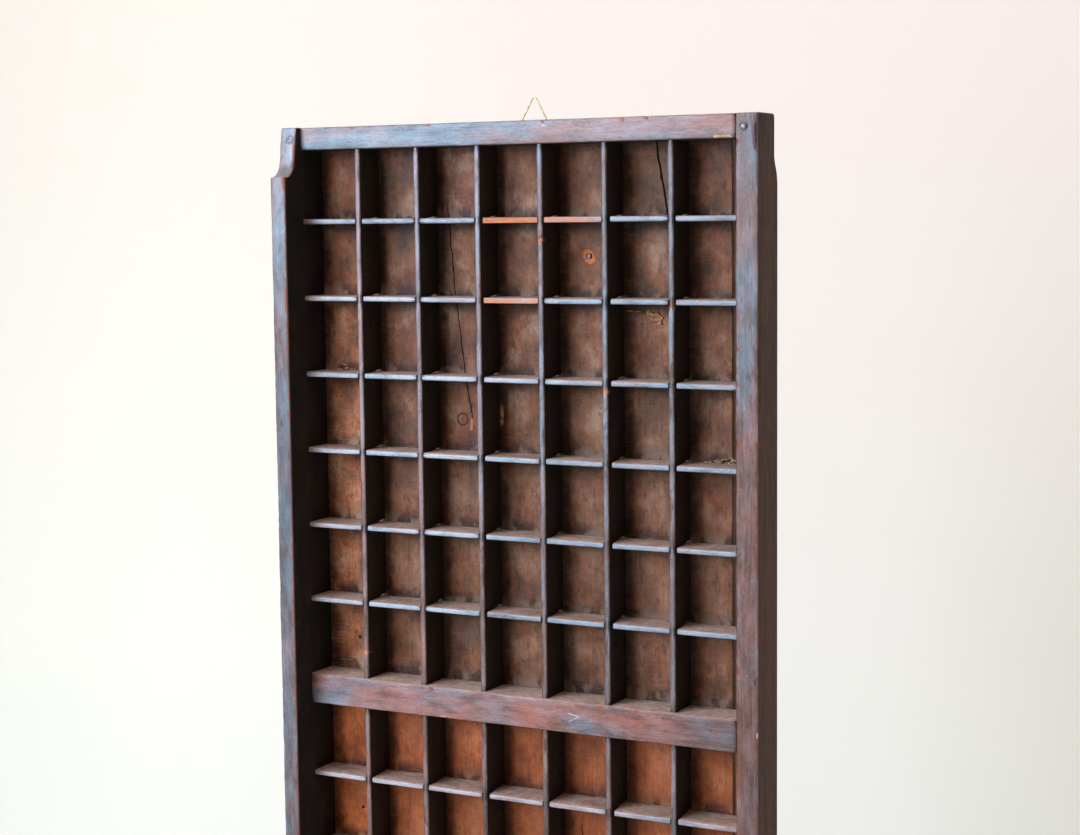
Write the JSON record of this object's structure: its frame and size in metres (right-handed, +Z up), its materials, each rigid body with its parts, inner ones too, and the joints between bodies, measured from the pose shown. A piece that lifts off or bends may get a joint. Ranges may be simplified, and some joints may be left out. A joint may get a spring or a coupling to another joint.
{
  "type": "letterpress type case",
  "caption": "Long shallow wooden type case of equal square-cornered boxes in two halves, with one taller side with shaped ends and a small wire hanging loop",
  "frame": {"origin": "the point inside the top of the wire loop where the wall hook carries the case", "axes": "+Z up the case as it hangs, -Y out of the open front, +X to the right seen from the front"},
  "size_m": [0.3684, 0.0568, 0.8419],
  "materials": {
    "frame_wood": "dark stained hardwood, satin with handling wear",
    "divider_wood": "dark stained thin hardwood, worn along the edges",
    "upper_floor_wood": "dusty grey-brown board",
    "lower_floor_wood": "rust-brown board",
    "nail_steel": "dull, tarnished",
    "hanger_brass": "aged"
  },
  "bodies": {
    "case": {"tall_side": "frame_wood", "plain_side": "frame_wood", "top_rail": "frame_wood", "bottom_rail": "frame_wood", "mid_bar": "frame_wood", "upper_floor_board": "upper_floor_wood", "upper_floor_strip": "upper_floor_wood", "lower_floor_board": "lower_floor_wood", "lower_floor_strip": "lower_floor_wood", "lower_long_divider_1": "divider_wood", "lower_long_divider_2": "divider_wood", "lower_long_divider_3": "divider_wood", "lower_long_divider_4": "divider_wood", "lower_long_divider_5": "divider_wood", "lower_long_divider_6": "divider_wood", "upper_long_divider_1": "divider_wood", "upper_long_divider_2": "divider_wood", "upper_long_divider_3": "divider_wood", "upper_long_divider_4": "divider_wood", "upper_long_divider_5": "divider_wood", "upper_long_divider_6": "divider_wood", "lower_cross_divider_1": "divider_wood", "lower_cross_divider_2": "divider_wood", "lower_cross_divider_3": "divider_wood", "lower_cross_divider_4": "divider_wood", "lower_cross_divider_5": "divider_wood", "lower_cross_divider_6": "divider_wood", "upper_cross_divider_1": "divider_wood", "upper_cross_divider_2": "divider_wood", "upper_cross_divider_3": "divider_wood", "upper_cross_divider_4": "divider_wood", "upper_cross_divider_5": "divider_wood", "upper_cross_divider_6": "divider_wood", "corner_nails": "nail_steel", "upper_crossing_brads": "nail_steel", "lower_crossing_brads": "nail_steel", "floor_nails": "nail_steel", "floor_tack": "nail_steel", "hanger_plate": "hanger_brass", "hanger_nails": "hanger_brass"},
    "hanger_loop": {"hanger_loop": "hanger_brass"}
  },
  "joints": [
    {"name": "loop_hinge", "type": "hinge", "parent": "case", "child": "hanger_loop", "pos_m": [0, 0, -0.018], "axis": [-1, 0, 0], "range_deg": [-20, 170]}
  ]
}
